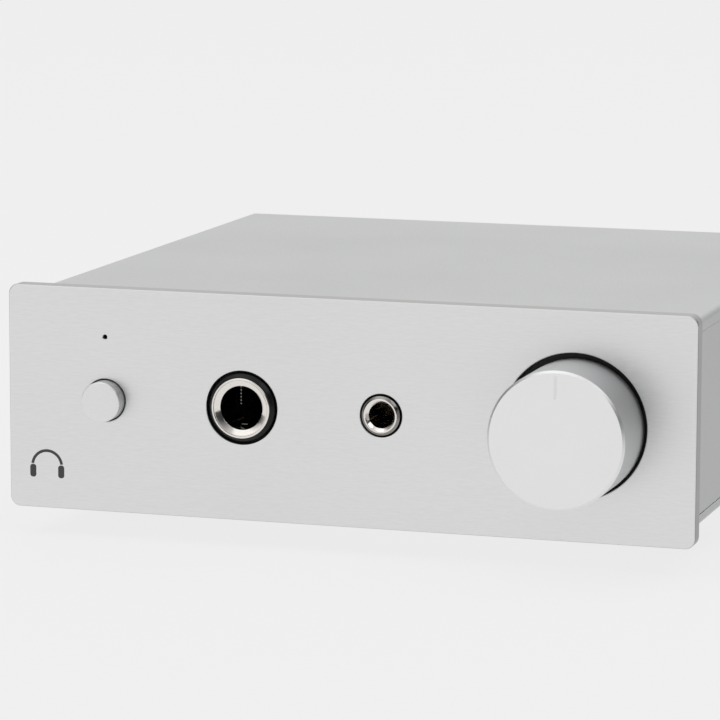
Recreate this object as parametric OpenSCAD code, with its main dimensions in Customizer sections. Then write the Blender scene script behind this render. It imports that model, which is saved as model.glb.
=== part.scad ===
// Desktop headphone amplifier.
// Origin: centre of the footprint on the surface that it stands on.
// +X is to the right as seen from the front, +Y points to the back, +Z is up. Millimetres.

/* [Front panel] */
// Width of the front panel
panel_w = 103; // [102:0.5:108]
// Height of the front panel
panel_h = 33; // [32:0.5:36]
// Thickness of the front panel
panel_t = 2.5; // [2.4:0.1:3]
// Corner radius of the front panel
panel_corner_r = 1.5; // [1:0.1:3]

/* [Case] */
// Width of the case
case_w = 100; // [100:0.5:101]
// Height of the case
case_h = 30; // [30:0.5:31]
// Length of the case behind the front panel
case_l = 101.5; // [101.5:0.5:110]
// Thickness of the top cover
cover_t = 2; // [1.8:0.1:2.2]
// Thickness of the bottom plate
floor_t = 1.6; // [1.4:0.1:1.8]
// Thickness of each side wall
wall_t = 2.2; // [1.8:0.1:2.2]
// Radius of the long outer edges of the cover and the bottom plate
edge_r = 0.8; // [0.5:0.1:1.2]
// Depth of the V-shaped seams between the side walls and the plates
seam_depth = 0.2; // [0.1:0.05:0.3]

/* [Feet] */
// Height of a foot
foot_h = 5.5; // [4:0.1:6]
// Diameter of a foot
foot_d = 10; // [9:0.5:11]
// Distance from the front panel's face to the front feet
foot_setback = 27; // [26:0.5:30]

/* [Volume knob] */
// Distance of the knob from the middle of the panel
knob_x = 33.9; // [33:0.1:34]
// Diameter of the knob
knob_d = 19.7; // [17:0.1:19.8]
// Diameter of the hole that the knob sits in
knob_hole_d = 20.9; // [20.7:0.1:21.5]
// How far the knob stands out of the panel
knob_out = 10.5; // [10:0.1:11]
// How far the shaft sits below the middle of its hole
shaft_drop = 0.3; // [0:0.05:0.3]
// Angle that the knob turns through, from stop to stop
knob_turn = 300; // [260:5:330]

/* [Headphone sockets] */
// Position of the full-size socket from the middle of the panel
phone_x = -15.5; // [-17:0.1:-15]
// Diameter of the panel hole for the full-size socket
phone_hole_d = 10.7; // [10.7:0.1:11]
// Bore of the full-size socket
phone_bore_d = 6.4; // [6.35:0.01:6.45]
// Position of the mini socket from the middle of the panel
mini_x = 5.5; // [5:0.1:7]
// Diameter of the panel hole for the mini socket
mini_hole_d = 6.2; // [6.1:0.1:6.6]
// Bore of the mini socket
mini_bore_d = 3.6; // [3.55:0.01:3.7]

/* [Power button] */
// Position of the button from the middle of the panel
button_x = -36.5; // [-37:0.1:-35]
// Diameter of the button
button_d = 5.9; // [5.4:0.1:5.9]
// Diameter of the panel hole for the button
button_hole_d = 6.2; // [6.1:0.1:6.3]
// How far the button stands out of the panel
button_out = 2.1; // [2:0.1:2.4]
// How far the button travels
button_travel = 1.8; // [1:0.1:1.8]
// Height of the indicator's pinhole above the button
led_rise = 9.3; // [9:0.1:10]
// Diameter of the indicator's pinhole
led_hole_d = 0.6; // [0.4:0.1:1]

/* [Rear sockets] */
// How far the rear sockets stand out behind the case
socket_out = 7.5; // [7:0.5:9]
// Outer diameter of each round socket shell
shell_d = 8.3; // [8.2:0.05:8.4]
// Distance between the two sockets of a pair
socket_pitch = 14; // [13.5:0.5:14]
// Middle of the input pair
input_x = 22; // [20:0.5:22]
// Middle of the output pair
output_x = -8; // [-9:0.5:-8]
// Position of the supply inlet
inlet_x = -31; // [-31:0.5:-30]
// Diameter of the supply inlet's centre pin
inlet_pin_d = 2.1; // [2:0.1:2.5]

/* [Main board] */
// Width of the main board
board_w = 83; // [82:0.5:83]
// Thickness of the main board
board_t = 1.6; // [1.5:0.1:1.6]
// Height of the control axes above the main board
axis_above_board = 8; // [8:0.1:8.2]

/* [Hidden] */
$fn = 64;
tiny = 0.01;

// Lengthwise stations, from the knob's face to the ends of the rear sockets
total_l = knob_out + panel_t + case_l + socket_out;
knob_face = -total_l / 2;
panel_front = knob_face + knob_out;
panel_back = panel_front + panel_t;
plate_t = 1.2;
plate_back = panel_back + plate_t;
case_back = panel_back + case_l;
rear_t = 1.5;
rear_recess = 1.5;
rear_out = case_back - rear_recess;
rear_in = rear_out - rear_t;
socket_end = total_l / 2;

// Heights
case_bottom = foot_h;
floor_top = case_bottom + floor_t;
case_top = case_bottom + case_h;
cover_bottom = case_top - cover_t;
axis_z = case_bottom + case_h / 2;
board_top = axis_z - axis_above_board;
board_bottom = board_top - board_t;
tail_end = board_bottom - 0.9;

// Side walls and their screw channels
wall_in = case_w / 2 - wall_t;
channel_r = 2.9;
channel_x = wall_in - 3;
channel_inset = 3.3;
channel_z = [floor_top + channel_inset, cover_bottom - channel_inset];
plate_half_w = wall_in - 0.1;

// Screws: shank radius of the case screws and of the small ones
screw_r = 1.5;
small_screw_r = 1.25;
case_screw_l = 8;
countersink_h = 1;

// Feet and the pillars above them
pillar_x = 39;
pillar_y = [panel_front + foot_setback, case_back - 15.5];
pillar_r = 2.75;
pillar_thread_l = 10;
spigot_h = 1.2;
foot_seat = 3;

// Main board outline and fixings
board_front = panel_back + 3;
board_back = rear_in - 1;
board_notch_r = 3.6;
standoff_x = 27.5;
standoff_y = [-18, 30];
standoff_r = 2.75;
spigot_skin = 0.2;

// Front panel's blind screws
blind_screw_x = [-27, 15.5];
blind_screw_z = [axis_z - 9, axis_z + 9];
blind_depth = 1.7;

// Volume control
knob_z = axis_z - shaft_drop;
knob_r = knob_d / 2;
knob_chamfer = 0.45;
knob_rear = panel_front + 1.2;
knob_recess_r = 7.6;
knob_recess_l = 3.4;
shaft_r = 3;
shaft_end = knob_face + 1.7;
shaft_flat = 0.5;
bushing_r = 3.5;
bushing_end = panel_front - 2;
running_gap = 0.04;
pot_half_w = 8;
pot_front_wall = 1.5;
pot_pocket_r = 6.7;
pot_pocket_front = plate_back + pot_front_wall;
pot_cover_front = plate_back + 7.5;
pot_cover_t = 1;
tail_r = 2;
set_screw_y = panel_front - 4.4;
set_screw_l = 5;

// Power switch
button_r = button_d / 2;
button_face = panel_front - button_out;
button_rear = plate_back + 1.8;
button_flange_r = 3.9;
button_flange_l = 1.3;
stem_w = 3;
stem_front = panel_front + 0.5;
switch_front = button_rear + 4;
switch_l = 10;
switch_half_w = 4.25;
switch_top = axis_z + 4.25;
stem_engaged_l = 5.5;
stem_rear = switch_front + stem_engaged_l;
switch_bore_l = stem_engaged_l + button_travel + 0.7;
spring_wire = 0.42;
spring_r = 2.5;
spring_turns = 4;

// Indicator
led_z = axis_z + led_rise;
guide_w = 2;
guide_back = switch_front + switch_l + 2.5;
lamp_h = 0.8;

// Full-size headphone socket
phone_half_w = 8;
phone_back = plate_back + 26;
phone_nose_r = 5;
phone_nose_out = 0.4;
phone_cavity_r = 3.4;
phone_tip_w = 0.5;
ferrule_tube_r = 3.75;
ferrule_rim_r = 4.4;
ferrule_lip = 0.15;
ferrule_rim_out = 0.65;
ferrule_end = plate_back + 2.8;
spring_t = 0.4;
tail_w = 1.4;

// Mini headphone socket
mini_half_w = 3.5;
mini_top = axis_z + 4;
mini_back = plate_back + 13;
mini_ferrule_r = 2.9;
mini_rim_r = 2.35;
mini_cavity_r = 2.15;
mini_ferrule_out = 0.45;
mini_ferrule_end = plate_back + 3.8;

// Rear sockets
block_l = 12;
block_half_w = 14;
block_top = axis_z + 8;
collar_r = 5.2;
shell_r = shell_d / 2;
shell_root_r = shell_r + 0.3;
shell_wall = 0.6;
shell_front = rear_in - 1;
insulator_back = socket_end - 0.6;
contact_outer_r = 1.9;
contact_bore_r = 1.6;
inlet_z = board_top + 6.5;
inlet_nose_r = 4.2;
inlet_bore_r = 2.9;

// Plan positions of the parts on the board
phone_pegs = [for (dx = [-6, 6], dy = [8, 22]) [phone_x + dx, plate_back + dy]];
mini_pegs = [for (dy = [3, 10]) [mini_x, plate_back + dy]];
pot_pegs = [for (dx = [-6, 6]) [knob_x + dx, plate_back + 4]];
switch_pegs = [for (dx = [-3, 3], dy = [2, 8]) [button_x + dx, switch_front + dy]];
guide_pegs = [for (dx = [-2, 2]) [button_x + dx, guide_back - guide_w / 2]];
block_pegs = [for (cx = [input_x, output_x], dx = [-10, 10]) [cx + dx, rear_in - 8]];
inlet_pegs = [for (dx = [-3, 3]) [inlet_x + dx, rear_in - 8]];
peg_r = 0.8;
guide_peg_r = 0.5;
phone_tip_tail = [phone_x, phone_back + spring_t / 2];
phone_ring_tail = [phone_x, plate_back + 13];
phone_sleeve_tail = [phone_x + phone_half_w + spring_t / 2, ferrule_end + tail_w / 2];
mini_tip_tail = [mini_x, mini_back + spring_t / 2];
mini_ring_tail = [mini_x + mini_half_w + spring_t / 2, plate_back + 8];
tail_slots = [phone_tip_tail, phone_ring_tail, mini_tip_tail];
side_tail_slots = [phone_sleeve_tail, mini_ring_tail];

// A block between two opposite corners
module block(low, high) {
    translate(low)
        cube(high - low);
}

// A cylinder along Y between two stations
module rod_y(x, z, y_low, y_high, r) {
    translate([x, y_low, z])
        rotate([-90, 0, 0])
            cylinder(h = y_high - y_low, r = r);
}

// A cylinder that stands on a point
module post(xy, z_low, z_high, r) {
    translate([xy.x, xy.y, z_low])
        cylinder(h = z_high - z_low, r = r);
}

// A shape of revolution about a line along Y: profile points are [radius, y]
module turned_y(x, z, profile) {
    translate([x, 0, z])
        rotate([90, 0, 0])
            mirror([0, 0, 1])
                rotate_extrude($fn = 96)
                    polygon(profile);
}

// A rectangle with round corners, made of bars and discs so that its arcs stay true
module round_rectangle(w, h, r) {
    square([w - 2 * r, h], center = true);
    square([w, h - 2 * r], center = true);
    for (sx = [-1, 1], sy = [-1, 1])
        translate([sx * (w / 2 - r), sy * (h / 2 - r)])
            circle(r = r);
}

// Extrudes an outline drawn in X and Z along Y
module extrude_y(y_low, y_high) {
    translate([0, y_high, 0])
        rotate([90, 0, 0])
            linear_extrude(height = y_high - y_low)
                children();
}

// Extrudes an outline drawn in Y and Z along X
module extrude_x(x_low, x_high) {
    translate([x_low, 0, 0])
        rotate([90, 0, 90])
            linear_extrude(height = x_high - x_low)
                children();
}

// Outline of a bent strip of even thickness that follows a path of points, with mitred corners
function unit(v) = v / norm(v);
function step_from(path, i) = unit(path[i + 1] - path[i]);
function mitre(path, i) =
    let (before = step_from(path, max(i - 1, 0)),
        after = step_from(path, min(i, len(path) - 2)),
        along = unit(before + after))
    [-along.y, along.x] / (along * before);
function strip_outline(path, t) = concat(
    [for (i = [0:len(path) - 1]) path[i] + mitre(path, i) * t / 2],
    [for (i = [len(path) - 1:-1:0]) path[i] - mitre(path, i) * t / 2]);

// Places its children at each point of a plan list
module at_each(points) {
    for (p = points)
        translate([p.x, p.y, 0])
            children();
}

// Four points of a rectangle that is centred on X
function corners(x, ys) = [for (sx = [-1, 1], y = ys) [sx * x, y]];

// ---- Case ----

module panel_outline() {
    translate([0, axis_z])
        round_rectangle(panel_w, panel_h, panel_corner_r);
}

module front_panel() {
    color("gainsboro")
        difference() {
            extrude_y(panel_front, panel_back)
                panel_outline();
            rod_y(knob_x, axis_z, panel_front - 1, panel_back + 1, knob_hole_d / 2);
            rod_y(phone_x, axis_z, panel_front - 1, panel_back + 1, phone_hole_d / 2);
            rod_y(mini_x, axis_z, panel_front - 1, panel_back + 1, mini_hole_d / 2);
            rod_y(button_x, axis_z, panel_front - 1, panel_back + 1, button_hole_d / 2);
            rod_y(button_x, led_z, panel_front - 1, panel_back + 1, led_hole_d / 2);
            for (x = blind_screw_x, z = blind_screw_z)
                rod_y(x, z, panel_back - blind_depth, panel_back + 1, small_screw_r);
        }
}

module inner_front_plate() {
    color("silver")
        difference() {
            block([-plate_half_w, panel_back, floor_top], [plate_half_w, plate_back, cover_bottom]);
            rod_y(knob_x, knob_z, panel_back - 1, plate_back + 1, bushing_r);
            rod_y(phone_x, axis_z, panel_back - 1, plate_back + 1, phone_nose_r);
            rod_y(mini_x, axis_z, panel_back - 1, plate_back + 1, mini_ferrule_r);
            rod_y(button_x, axis_z, panel_back - 1, plate_back + 1, button_hole_d / 2 + 0.1);
            block([button_x - guide_w / 2, panel_back - 1, led_z - guide_w / 2],
                [button_x + guide_w / 2, plate_back + 1, led_z + guide_w / 2]);
            for (x = blind_screw_x, z = blind_screw_z)
                rod_y(x, z, panel_back - 1, plate_back + 1, small_screw_r);
            for (sx = [-1, 1], z = channel_z)
                countersunk_shape(sx * channel_x, z, 0.02);
        }
}

// A countersunk screw along +Y whose head is flush with the front of the inner plate
module countersunk_shape(x, z, lead_in) {
    translate([x, panel_back - lead_in, z])
        rotate([-90, 0, 0])
            cylinder(h = countersink_h + lead_in, r1 = screw_r + countersink_h + lead_in, r2 = screw_r);
    rod_y(x, z, panel_back, plate_back + 1, screw_r);
}

module front_panel_screws() {
    color("dimgray")
        for (x = blind_screw_x, z = blind_screw_z)
            difference() {
                union() {
                    rod_y(x, z, panel_back - blind_depth, plate_back + tiny, small_screw_r);
                    rod_y(x, z, plate_back, plate_back + 1.5, 2.25);
                }
                rod_y(x, z, plate_back + 0.7, plate_back + 2, 0.8);
            }
}

module front_plate_screws() {
    color("dimgray")
        for (sx = [-1, 1], z = channel_z)
            difference() {
                union() {
                    translate([sx * channel_x, panel_back, z])
                        rotate([-90, 0, 0])
                            cylinder(h = countersink_h, r1 = screw_r + countersink_h, r2 = screw_r);
                    rod_y(sx * channel_x, z, panel_back + countersink_h - tiny,
                        plate_back + case_screw_l, screw_r);
                }
                rod_y(sx * channel_x, z, panel_back - 1, panel_back + 0.6, 0.9);
            }
}

// Cross-section of the right side wall: a web with a seam chamfer at each end and two screw channels
module wall_section() {
    difference() {
        union() {
            polygon([
                [wall_in, floor_top],
                [case_w / 2 - seam_depth, floor_top],
                [case_w / 2, floor_top + seam_depth],
                [case_w / 2, cover_bottom - seam_depth],
                [case_w / 2 - seam_depth, cover_bottom],
                [wall_in, cover_bottom]]);
            for (z = channel_z) {
                translate([channel_x, z])
                    circle(r = channel_r);
                translate([channel_x, z - channel_r])
                    square([wall_in - channel_x + tiny, 2 * channel_r]);
            }
        }
        for (z = channel_z)
            translate([channel_x, z])
                circle(r = screw_r);
    }
}

module side_wall() {
    difference() {
        extrude_y(panel_back, case_back)
            wall_section();
        block([channel_x - channel_r - 1, panel_back - 1, floor_top - 1], [wall_in, plate_back, case_top]);
        block([channel_x - channel_r - 1, rear_in, floor_top - 1], [wall_in, case_back + 1, case_top]);
    }
}

module left_side_wall() {
    color("lightgray")
        mirror([1, 0, 0])
            side_wall();
}

module right_side_wall() {
    color("lightgray")
        side_wall();
}

// Cross-section of a plate whose two outer long edges are round; up is 1 for the cover, -1 for the floor
module plate_section(z_in, z_out, up) {
    half = case_w / 2;
    translate([-half, min(z_in, z_out - up * edge_r)])
        square([case_w, abs(z_out - up * edge_r - z_in)]);
    translate([-half + edge_r, min(z_out, z_out - up * edge_r)])
        square([case_w - 2 * edge_r, edge_r]);
    for (sx = [-1, 1])
        translate([sx * (half - edge_r), z_out - up * edge_r])
            circle(r = edge_r);
}

module top_cover() {
    color("lightgray")
        difference() {
            extrude_y(panel_back, case_back)
                plate_section(cover_bottom, case_top, 1);
            at_each(corners(pillar_x, pillar_y))
                post([0, 0], cover_bottom - 1, cover_bottom + spigot_h, screw_r);
        }
}

module bottom_plate() {
    color("lightgray")
        difference() {
            extrude_y(panel_back, case_back)
                plate_section(floor_top, case_bottom, -1);
            at_each(corners(pillar_x, pillar_y))
                post([0, 0], case_bottom - 1, floor_top + 1, screw_r);
            at_each(corners(standoff_x, standoff_y))
                post([0, 0], case_bottom + spigot_skin, floor_top + 1, screw_r);
        }
}

module rear_panel() {
    color("dimgray")
        difference() {
            block([-plate_half_w, rear_in, floor_top], [plate_half_w, rear_out, cover_bottom]);
            for (x = socket_centres())
                rod_y(x, axis_z, rear_in - 1, rear_out + 1, collar_r);
            for (x = [input_x, output_x])
                rod_y(x, axis_z + 3, rear_in - 1, rear_out + 1, small_screw_r);
            rod_y(inlet_x, inlet_z, rear_in - 1, rear_out + 1, inlet_nose_r);
            for (sx = [-1, 1], z = channel_z)
                rod_y(sx * channel_x, z, rear_in - 1, rear_out + 1, screw_r);
        }
}

module rear_panel_screws() {
    color("dimgray")
        for (sx = [-1, 1], z = channel_z)
            difference() {
                union() {
                    rod_y(sx * channel_x, z, rear_in - case_screw_l, rear_out + tiny, screw_r);
                    rod_y(sx * channel_x, z, rear_out, rear_out + 1.4, 1.9);
                }
                rod_y(sx * channel_x, z, rear_out + 0.5, rear_out + 2, 0.9);
            }
}

module cover_pillars() {
    color("gold")
        at_each(corners(pillar_x, pillar_y))
            difference() {
                union() {
                    post([0, 0], floor_top, cover_bottom, pillar_r);
                    post([0, 0], cover_bottom - tiny, cover_bottom + spigot_h, screw_r);
                }
                post([0, 0], floor_top - 1, floor_top + pillar_thread_l, screw_r);
            }
}

module rubber_feet() {
    color("black")
        at_each(corners(pillar_x, pillar_y))
            difference() {
                cylinder(h = foot_h, r1 = foot_d / 2 - 0.4, r2 = foot_d / 2);
                post([0, 0], -1, foot_seat, 3.2);
                post([0, 0], foot_seat - 1, foot_h + 1, screw_r);
            }
}

module foot_screws() {
    color("dimgray")
        at_each(corners(pillar_x, pillar_y))
            difference() {
                union() {
                    post([0, 0], foot_seat - 1.6, foot_seat, 2.75);
                    post([0, 0], foot_seat - tiny, floor_top + pillar_thread_l - 1, screw_r);
                }
                post([0, 0], 0, foot_seat - 0.6, 0.9);
            }
}

// ---- Main board ----

module main_board() {
    color("darkgreen")
        difference() {
            block([-board_w / 2, board_front, board_bottom], [board_w / 2, board_back, board_top]);
            at_each(corners(pillar_x, pillar_y))
                post([0, 0], board_bottom - 1, board_top + 1, board_notch_r);
            at_each(corners(standoff_x, standoff_y))
                post([0, 0], board_bottom - 1, board_top + 1, screw_r);
            at_each(concat(phone_pegs, mini_pegs, pot_pegs, switch_pegs, block_pegs, inlet_pegs))
                post([0, 0], board_bottom - 1, board_top + 1, peg_r);
            at_each(guide_pegs)
                post([0, 0], board_bottom - 1, board_top + 1, guide_peg_r);
            at_each(tail_slots)
                tail_shape(tail_w, spring_t, board_top + 1, board_bottom - 1);
            at_each(side_tail_slots)
                tail_shape(spring_t, tail_w, board_top + 1, board_bottom - 1);
        }
}

// The straight metal tail of a contact, which goes down through the board
module tail_shape(dx, dy, z_high, z_low) {
    block([-dx / 2, -dy / 2, z_low], [dx / 2, dy / 2, z_high]);
}

module board_standoffs() {
    color("silver")
        at_each(corners(standoff_x, standoff_y))
            difference() {
                union() {
                    post([0, 0], floor_top, board_bottom, standoff_r);
                    post([0, 0], case_bottom + spigot_skin, floor_top + tiny, screw_r);
                }
                post([0, 0], case_bottom + 1, board_bottom + 1, small_screw_r - 0.25);
            }
}

module board_screws() {
    color("dimgray")
        at_each(corners(standoff_x, standoff_y))
            difference() {
                union() {
                    post([0, 0], case_bottom + 1.8, board_top + tiny, small_screw_r - 0.25);
                    post([0, 0], board_bottom, board_top + tiny, screw_r);
                    post([0, 0], board_top, board_top + 1.4, 2.25);
                }
                post([0, 0], board_top + 0.6, board_top + 2, 0.8);
            }
}

// ---- Volume control ----

module volume_knob() {
    pointer_l = 3.5;
    pointer_w = 0.5;
    pointer_depth = 0.3;
    pointer_top = knob_z + knob_r - 0.6;
    color("whitesmoke")
        difference() {
            turned_y(knob_x, knob_z, [
                [0, knob_face],
                [knob_r - knob_chamfer, knob_face],
                [knob_r, knob_face + knob_chamfer],
                [knob_r, knob_rear],
                [knob_recess_r, knob_rear],
                [knob_recess_r, knob_rear - knob_recess_l],
                [shaft_r, knob_rear - knob_recess_l],
                [shaft_r, shaft_end],
                [0, shaft_end]]);
            block([knob_x - pointer_w / 2, knob_face - 1, pointer_top - pointer_l],
                [knob_x + pointer_w / 2, knob_face + pointer_depth, pointer_top]);
            translate([knob_x, set_screw_y, knob_z - knob_r - 1])
                cylinder(h = knob_r + 1 - shaft_r + 0.5, r = screw_r);
        }
}

module knob_set_screw() {
    tip = knob_z - shaft_r + shaft_flat;
    color("dimgray")
        translate([knob_x, set_screw_y, tip - set_screw_l])
            difference() {
                cylinder(h = set_screw_l, r = screw_r);
                translate([0, 0, -1])
                    cylinder(h = 3, r = 0.85, $fn = 6);
            }
}

module pot_shaft() {
    shoulder = pot_pocket_front + 0.1;
    color("silver")
        difference() {
            turned_y(knob_x, knob_z, [
                [0, shaft_end],
                [shaft_r, shaft_end],
                [shaft_r, shoulder],
                [shaft_r + 0.9, shoulder],
                [shaft_r + 0.9, shoulder + 0.8],
                [tail_r, shoulder + 0.8],
                [tail_r, pot_cover_front + pot_cover_t - 0.2],
                [0, pot_cover_front + pot_cover_t - 0.2]]);
            block([knob_x - shaft_r - 1, shaft_end - 1, knob_z - shaft_r - 1],
                [knob_x + shaft_r + 1, bushing_end - 0.2, knob_z - shaft_r + shaft_flat]);
        }
}

module pot_wiper() {
    hub_front = pot_pocket_front + 0.9;
    disc_front = pot_pocket_front + 1.8;
    color("goldenrod")
        union() {
            turned_y(knob_x, knob_z, [
                [tail_r, hub_front],
                [3.2, hub_front],
                [3.2, disc_front],
                [6, disc_front],
                [6, disc_front + 1.2],
                [tail_r, disc_front + 1.2]]);
            for (turn = [-12, 12])
                translate([knob_x, 0, knob_z])
                    rotate([0, turn, 0])
                        block([-0.5, pot_pocket_front + 1.05, 4.8], [0.5, disc_front + tiny, 5.8]);
        }
}

module pot_body() {
    color("slategray")
        union() {
            difference() {
                block([knob_x - pot_half_w, plate_back, board_top],
                    [knob_x + pot_half_w, pot_cover_front, knob_z + pot_half_w]);
                rod_y(knob_x, knob_z, plate_back - 1, pot_pocket_front + 1, bushing_r);
                rod_y(knob_x, knob_z, pot_pocket_front, pot_cover_front + 1, pot_pocket_r);
            }
            at_each(pot_pegs)
                post([0, 0], tail_end, board_top + tiny, peg_r);
        }
}

module pot_rear_cover() {
    color("slategray")
        difference() {
            block([knob_x - pot_half_w, pot_cover_front, board_top],
                [knob_x + pot_half_w, pot_cover_front + pot_cover_t, knob_z + pot_half_w]);
            rod_y(knob_x, knob_z, pot_cover_front - 1, pot_cover_front + pot_cover_t + 1,
                tail_r + running_gap);
        }
}

module pot_bushing() {
    color("gold")
        turned_y(knob_x, knob_z, [
            [shaft_r + running_gap, bushing_end],
            [bushing_r - 0.3, bushing_end],
            [bushing_r, bushing_end + 0.3],
            [bushing_r, pot_pocket_front],
            [shaft_r + running_gap, pot_pocket_front]]);
}

module pot_nut() {
    nut_l = 2;
    color("silver")
        difference() {
            translate([knob_x, panel_back - nut_l, knob_z])
                rotate([-90, 0, 0])
                    cylinder(h = nut_l, r = 10 / sqrt(3), $fn = 6);
            rod_y(knob_x, knob_z, panel_back - nut_l - 1, panel_back + 1, bushing_r);
        }
}

// Carbon track: a ring with a gap at the bottom, beyond the two stops
module pot_track() {
    track_r = 4.3;
    track_t = 1;
    half_gap = (360 - knob_turn) / 2;
    reach = pot_pocket_r + 1;
    color("saddlebrown")
        difference() {
            turned_y(knob_x, knob_z, [
                [track_r, pot_pocket_front],
                [pot_pocket_r, pot_pocket_front],
                [pot_pocket_r, pot_pocket_front + track_t],
                [track_r, pot_pocket_front + track_t]]);
            extrude_y(pot_pocket_front - 1, pot_pocket_front + track_t + 1)
                translate([knob_x, knob_z])
                    polygon([[0, 0], [-reach * tan(half_gap), -reach], [reach * tan(half_gap), -reach]]);
        }
}

// ---- Power switch and indicator ----

module power_button() {
    color("whitesmoke")
        difference() {
            turned_y(button_x, axis_z, [
                [0, button_face],
                [button_r - 0.25, button_face],
                [button_r, button_face + 0.25],
                [button_r, button_rear - button_flange_l],
                [button_flange_r, button_rear - button_flange_l],
                [button_flange_r, button_rear],
                [0, button_rear]]);
            block([button_x - stem_w / 2, stem_front, axis_z - stem_w / 2],
                [button_x + stem_w / 2, button_rear + 1, axis_z + stem_w / 2]);
        }
}

module switch_stem() {
    color("white")
        block([button_x - stem_w / 2, stem_front, axis_z - stem_w / 2],
            [button_x + stem_w / 2, stem_rear, axis_z + stem_w / 2]);
}

module switch_body() {
    half_bore = stem_w / 2 + running_gap;
    color("black")
        union() {
            difference() {
                block([button_x - switch_half_w, switch_front, board_top],
                    [button_x + switch_half_w, switch_front + switch_l, switch_top]);
                block([button_x - half_bore, switch_front - 1, axis_z - half_bore],
                    [button_x + half_bore, switch_front + switch_bore_l, axis_z + half_bore]);
            }
            at_each(switch_pegs)
                post([0, 0], tail_end, board_top + tiny, peg_r);
        }
}

// Return spring: a round wire wound about the stem, between the button and the switch
module switch_spring() {
    sides = 8;
    steps_per_turn = 20;
    rings = spring_turns * steps_per_turn;
    wire_r = spring_wire / 2;
    wound_l = switch_front - button_rear - spring_wire - 0.04;
    function ring_point(i, k) =
        let (turn = 360 * i / steps_per_turn, side = 360 * k / sides, r = spring_r + wire_r * cos(side))
        [button_x + r * cos(turn), button_rear + 0.02 + wire_r + wound_l * i / rings + wire_r * sin(side),
            axis_z + r * sin(turn)];
    points = [for (i = [0:rings], k = [0:sides - 1]) ring_point(i, k)];
    skin = [for (i = [0:rings - 1], k = [0:sides - 1])
        let (next = (k + 1) % sides)
        [i * sides + k, i * sides + next, (i + 1) * sides + next, (i + 1) * sides + k]];
    start_cap = [for (k = [sides - 1:-1:0]) k];
    end_cap = [for (k = [0:sides - 1]) rings * sides + k];
    color("silver")
        polyhedron(points, concat(skin, [start_cap, end_cap]), convexity = 8);
}

module power_lamp() {
    color("ivory")
        block([button_x - 1, guide_back - guide_w / 2 - 0.6, board_top],
            [button_x + 1, guide_back - guide_w / 2 + 0.6, board_top + lamp_h]);
}

// Clear guide: a leg over the lamp, a mirror bevel at the corner and an arm to the pinhole
module light_guide() {
    base_bottom = board_top + lamp_h;
    color("lightcyan")
        union() {
            extrude_x(button_x - guide_w / 2, button_x + guide_w / 2)
                polygon([
                    [panel_back, led_z - guide_w / 2],
                    [guide_back - guide_w, led_z - guide_w / 2],
                    [guide_back - guide_w, base_bottom],
                    [guide_back, base_bottom],
                    [guide_back, led_z - guide_w / 2],
                    [guide_back - guide_w, led_z + guide_w / 2],
                    [panel_back, led_z + guide_w / 2]]);
            block([button_x - 2.6, guide_back - guide_w, base_bottom],
                [button_x + 2.6, guide_back, base_bottom + 1]);
            at_each(guide_pegs)
                post([0, 0], tail_end, base_bottom + tiny, guide_peg_r);
        }
}

// ---- Full-size headphone socket ----

module phone_jack_body() {
    nose_face = panel_front - phone_nose_out;
    nose_round = 0.5;
    slot_half = 1.5;
    color("black")
        union() {
            difference() {
                union() {
                    block([phone_x - phone_half_w, plate_back, board_top],
                        [phone_x + phone_half_w, phone_back, axis_z + phone_half_w]);
                    turned_y(phone_x, axis_z, [
                        [0, nose_face],
                        [phone_nose_r - nose_round, nose_face],
                        [phone_nose_r, nose_face + nose_round],
                        [phone_nose_r, plate_back + tiny],
                        [0, plate_back + tiny]]);
                }
                rod_y(phone_x, axis_z, panel_front - 1, phone_back + 1, phone_cavity_r);
                rod_y(phone_x, axis_z, panel_front - 1, ferrule_end, ferrule_tube_r);
                rod_y(phone_x, axis_z, panel_front - 1, panel_front + 0.6, ferrule_rim_r);
                block([phone_x - slot_half, plate_back + 14, axis_z],
                    [phone_x + slot_half, phone_back + 1, axis_z + phone_half_w + 1]);
                block([phone_x - slot_half, plate_back + 4, board_top - 1],
                    [phone_x + slot_half, plate_back + 13.6, axis_z]);
                block([phone_x, ferrule_end, axis_z - 1.4],
                    [phone_x + phone_half_w + 1, ferrule_end + 1.6, axis_z + 1.4]);
                block([phone_x, ferrule_end - 1, axis_z - 1.4],
                    [phone_x + ferrule_tube_r, ferrule_end + 1.6, axis_z + 1.4]);
            }
            at_each(phone_pegs)
                post([0, 0], tail_end, board_top + tiny, peg_r);
        }
}

// Dished ring that lines the mouth: its rim stands out and its face falls back to the bore
module phone_jack_ferrule() {
    bore_r = phone_bore_d / 2;
    rim_front = panel_front - ferrule_rim_out;
    color("silver")
        turned_y(phone_x, axis_z, [
            [bore_r, ferrule_end],
            [bore_r, panel_front],
            [bore_r + ferrule_lip, panel_front - ferrule_lip],
            [ferrule_rim_r - 0.3, rim_front],
            [ferrule_rim_r, rim_front + 0.15],
            [ferrule_rim_r, panel_front + 0.6],
            [ferrule_tube_r, panel_front + 0.6],
            [ferrule_tube_r, ferrule_end]]);
}

module phone_jack_tip_spring() {
    path = [
        [phone_tip_tail.y, tail_end],
        [phone_tip_tail.y, axis_z + 6.6],
        [plate_back + 15.5, axis_z + 6.6],
        [plate_back + 22, axis_z + 0.6],
        [plate_back + 24, axis_z + 1.8]];
    color("goldenrod")
        extrude_x(phone_x - phone_tip_w / 2, phone_x + phone_tip_w / 2)
            polygon(strip_outline(path, spring_t));
}

module phone_jack_ring_spring() {
    path = [
        [phone_ring_tail.y, tail_end],
        [phone_ring_tail.y, axis_z - 6],
        [plate_back + 7.5, axis_z - 2.5],
        [plate_back + 5.5, axis_z - 3.6]];
    color("goldenrod")
        extrude_x(phone_x - tail_w / 2, phone_x + tail_w / 2)
            polygon(strip_outline(path, spring_t));
}

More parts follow.
